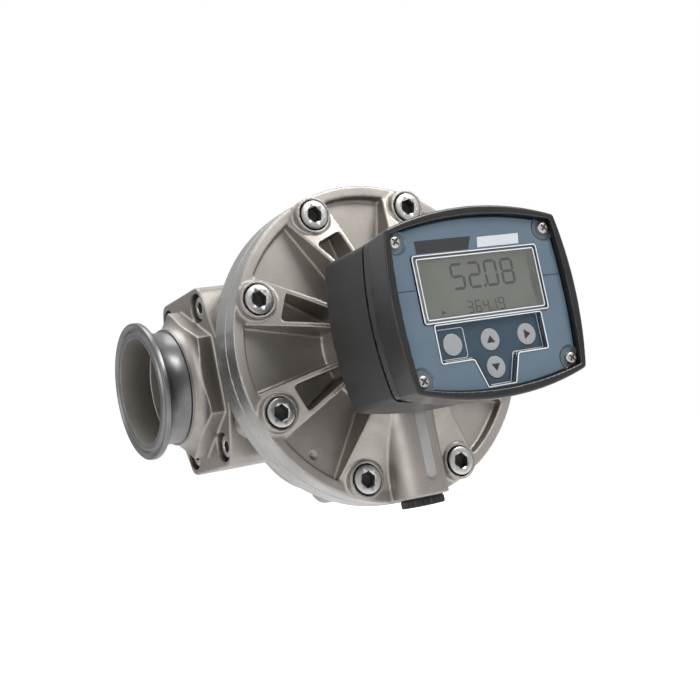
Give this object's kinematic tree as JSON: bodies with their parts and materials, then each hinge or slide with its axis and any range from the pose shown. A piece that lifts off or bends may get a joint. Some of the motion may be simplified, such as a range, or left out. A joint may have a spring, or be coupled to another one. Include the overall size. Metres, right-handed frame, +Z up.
{
  "type": "oval gear flow meter",
  "caption": "Oval gear flow meter with clamp ferrules on bolted adapters, a ribbed round cover and a keyed battery display on a central turret.",
  "frame": {"origin": "centre of the inlet ferrule's face, on the flow axis", "axes": "+X with the flow from inlet to outlet, -Y the way the display faces, +Z up along the display"},
  "size_m": [0.2328, 0.2212, 0.1824],
  "materials": {
    "casting": "fine cast and bead blasted stainless steel",
    "port_steel": "cast stainless steel with a polished turned ferrule",
    "screw_steel": "bright stainless steel",
    "seal_rubber": "matt black",
    "rotor_steel": "machined stainless steel",
    "bush_plastic": "filled bearing plastic",
    "shaft_steel": "ground",
    "magnet": "nickel plated",
    "board": "green solder mask",
    "chip": "black",
    "terminal": "green moulding",
    "dome": "bright spring steel",
    "plug_plastic": "fine textured black",
    "housing_plastic": "fine textured charcoal",
    "bezel_plastic": "satin charcoal",
    "panel_blue": "blue grey behind a clear face",
    "clear_lens": "clear",
    "key_field": "dark blue",
    "key_face": "light grey",
    "lcd_glass": "grey green reflective display",
    "holder_plastic": "black",
    "battery_sleeve": "green sleeve"
  },
  "bodies": {
    "meter": {"meter_body": "casting", "meter_cover": "casting", "inlet_adapter": "port_steel", "outlet_adapter": "port_steel", "cover_bolts": "screw_steel", "inlet_adapter_screws": "screw_steel", "outlet_adapter_screws": "screw_steel", "cover_seal": "seal_rubber", "inlet_adapter_seal": "seal_rubber", "outlet_adapter_seal": "seal_rubber", "turret_gasket": "seal_rubber", "bezel_gasket": "seal_rubber", "plug_seal": "seal_rubber", "upper_rotor_shaft": "shaft_steel", "lower_rotor_shaft": "shaft_steel", "pulse_board": "board", "display_board": "board", "pulse_board_screws": "screw_steel", "board_screws": "screw_steel", "display_base_screws": "screw_steel", "display_screws": "screw_steel", "pulse_sensors": "chip", "terminal_block": "terminal", "key_domes": "dome", "conduit_plug": "plug_plastic", "display_base": "housing_plastic", "display_bezel": "bezel_plastic", "face_panel": "panel_blue", "window_lens": "clear_lens", "key_plate": "key_field", "lcd_module": "lcd_glass", "battery_holder": "holder_plastic", "battery": "battery_sleeve"},
    "upper_rotor": {"upper_rotor": "rotor_steel", "upper_rotor_bushes": "bush_plastic", "rotor_magnets": "magnet"},
    "lower_rotor": {"lower_rotor": "rotor_steel", "lower_rotor_bushes": "bush_plastic"},
    "enter_key": {"enter_key": "key_face"},
    "up_key": {"up_key": "key_face"},
    "right_key": {"right_key": "key_face"},
    "down_key": {"down_key": "key_face"}
  },
  "joints": [
    {"name": "upper_rotor_spin", "type": "hinge", "parent": "meter", "child": "upper_rotor", "pos_m": [0.1164, -0.027, 0.03], "axis": [0, 1, 0], "continuous": true},
    {"name": "lower_rotor_spin", "type": "hinge", "parent": "meter", "child": "lower_rotor", "pos_m": [0.1164, -0.027, -0.03], "axis": [0, 1, 0], "continuous": true},
    {"name": "enter_press", "type": "slide", "parent": "meter", "child": "enter_key", "axis": [0, 1, 0], "range_m": [0, 0.0006], "stiffness_N_per_m": 1500, "springref_m": -0.0002},
    {"name": "up_press", "type": "slide", "parent": "meter", "child": "up_key", "axis": [0, 1, 0], "range_m": [0, 0.0006], "stiffness_N_per_m": 1500, "springref_m": -0.0002},
    {"name": "right_press", "type": "slide", "parent": "meter", "child": "right_key", "axis": [0, 1, 0], "range_m": [0, 0.0006], "stiffness_N_per_m": 1500, "springref_m": -0.0002},
    {"name": "down_press", "type": "slide", "parent": "meter", "child": "down_key", "axis": [0, 1, 0], "range_m": [0, 0.0006], "stiffness_N_per_m": 1500, "springref_m": -0.0002}
  ],
  "couplings": [
    {"joint": "lower_rotor_spin", "follows": "upper_rotor_spin", "ratio": -1}
  ]
}
